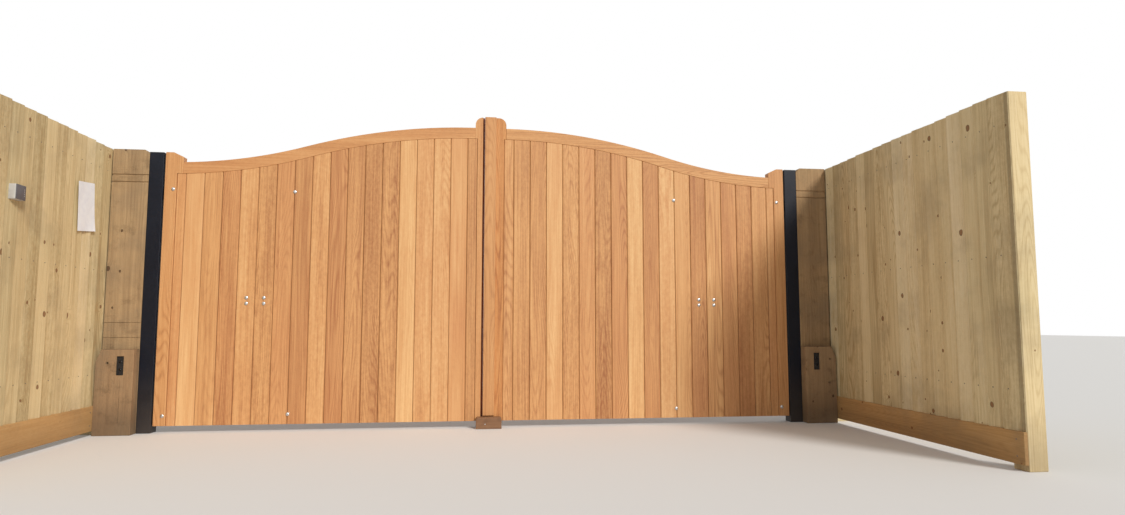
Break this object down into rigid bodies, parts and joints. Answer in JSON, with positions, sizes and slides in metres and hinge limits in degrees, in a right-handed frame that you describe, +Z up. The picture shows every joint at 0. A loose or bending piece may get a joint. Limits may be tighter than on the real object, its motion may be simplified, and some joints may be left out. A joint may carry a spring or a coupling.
{
  "type": "double driveway gate",
  "caption": "Arched double driveway gate of boarded hardwood leaves on steel posts, with timber gateposts, foot blocks and short close-boarded wing fences.",
  "frame": {"origin": "centre of the base of the left steel post, at ground level", "axes": "+X runs to the right along the gate as seen from the drive side, +Y is the way the leaves open, +Z is up"},
  "size_m": [5.15, 1.958, 2.131],
  "materials": {
    "hardwood": "oiled reddish-brown hardwood",
    "post_softwood": "rough sawn treated softwood with knots",
    "fence_softwood": "sawn treated softwood",
    "gravel_board_softwood": "sawn treated softwood, browner",
    "black_steel": "satin black powder coat",
    "galvanised_steel": "dull galvanised",
    "black_plastic": "matt black",
    "grey_plastic": "matt grey",
    "white_paper": "matt white"
  },
  "bodies": {
    "posts_and_fences": {"left_steel_post": "black_steel", "left_post_cap": "black_plastic", "left_hinge_hooks": "galvanised_steel", "left_timber_post": "post_softwood", "left_foot_block": "post_softwood", "left_beam_sensor": "black_plastic", "left_fence_panel": "fence_softwood", "left_gravel_board": "gravel_board_softwood", "left_fence_posts": "fence_softwood", "left_fence_rails": "fence_softwood", "right_steel_post": "black_steel", "right_post_cap": "black_plastic", "right_hinge_hooks": "galvanised_steel", "right_timber_post": "post_softwood", "right_foot_block": "post_softwood", "right_beam_sensor": "black_plastic", "right_fence_panel": "fence_softwood", "right_gravel_board": "gravel_board_softwood", "right_fence_posts": "fence_softwood", "right_fence_rails": "fence_softwood", "ground_stop": "hardwood", "call_box": "grey_plastic", "notice_sheet": "white_paper"},
    "left_leaf": {"left_hinge_stile": "hardwood", "left_meeting_stile": "hardwood", "left_arched_rail": "hardwood", "left_upper_rail": "hardwood", "left_middle_rail": "hardwood", "left_bottom_rail": "hardwood", "left_braces": "hardwood", "left_boards": "hardwood", "left_hinge_straps": "galvanised_steel", "left_arm_bracket": "galvanised_steel"},
    "right_leaf": {"right_hinge_stile": "hardwood", "right_meeting_stile": "hardwood", "right_arched_rail": "hardwood", "right_upper_rail": "hardwood", "right_middle_rail": "hardwood", "right_bottom_rail": "hardwood", "right_braces": "hardwood", "right_boards": "hardwood", "right_hinge_straps": "galvanised_steel", "right_arm_bracket": "galvanised_steel", "right_cover_strip": "hardwood"}
  },
  "joints": [
    {"name": "left_leaf_hinge", "type": "hinge", "parent": "posts_and_fences", "child": "left_leaf", "pos_m": [0.0665, 0.0315, 0.842], "axis": [0, 0, 1], "range_deg": [0, 90]},
    {"name": "right_leaf_hinge", "type": "hinge", "parent": "posts_and_fences", "child": "right_leaf", "pos_m": [4.3035, 0.0315, 0.842], "axis": [0, 0, -1], "range_deg": [0, 90]}
  ]
}
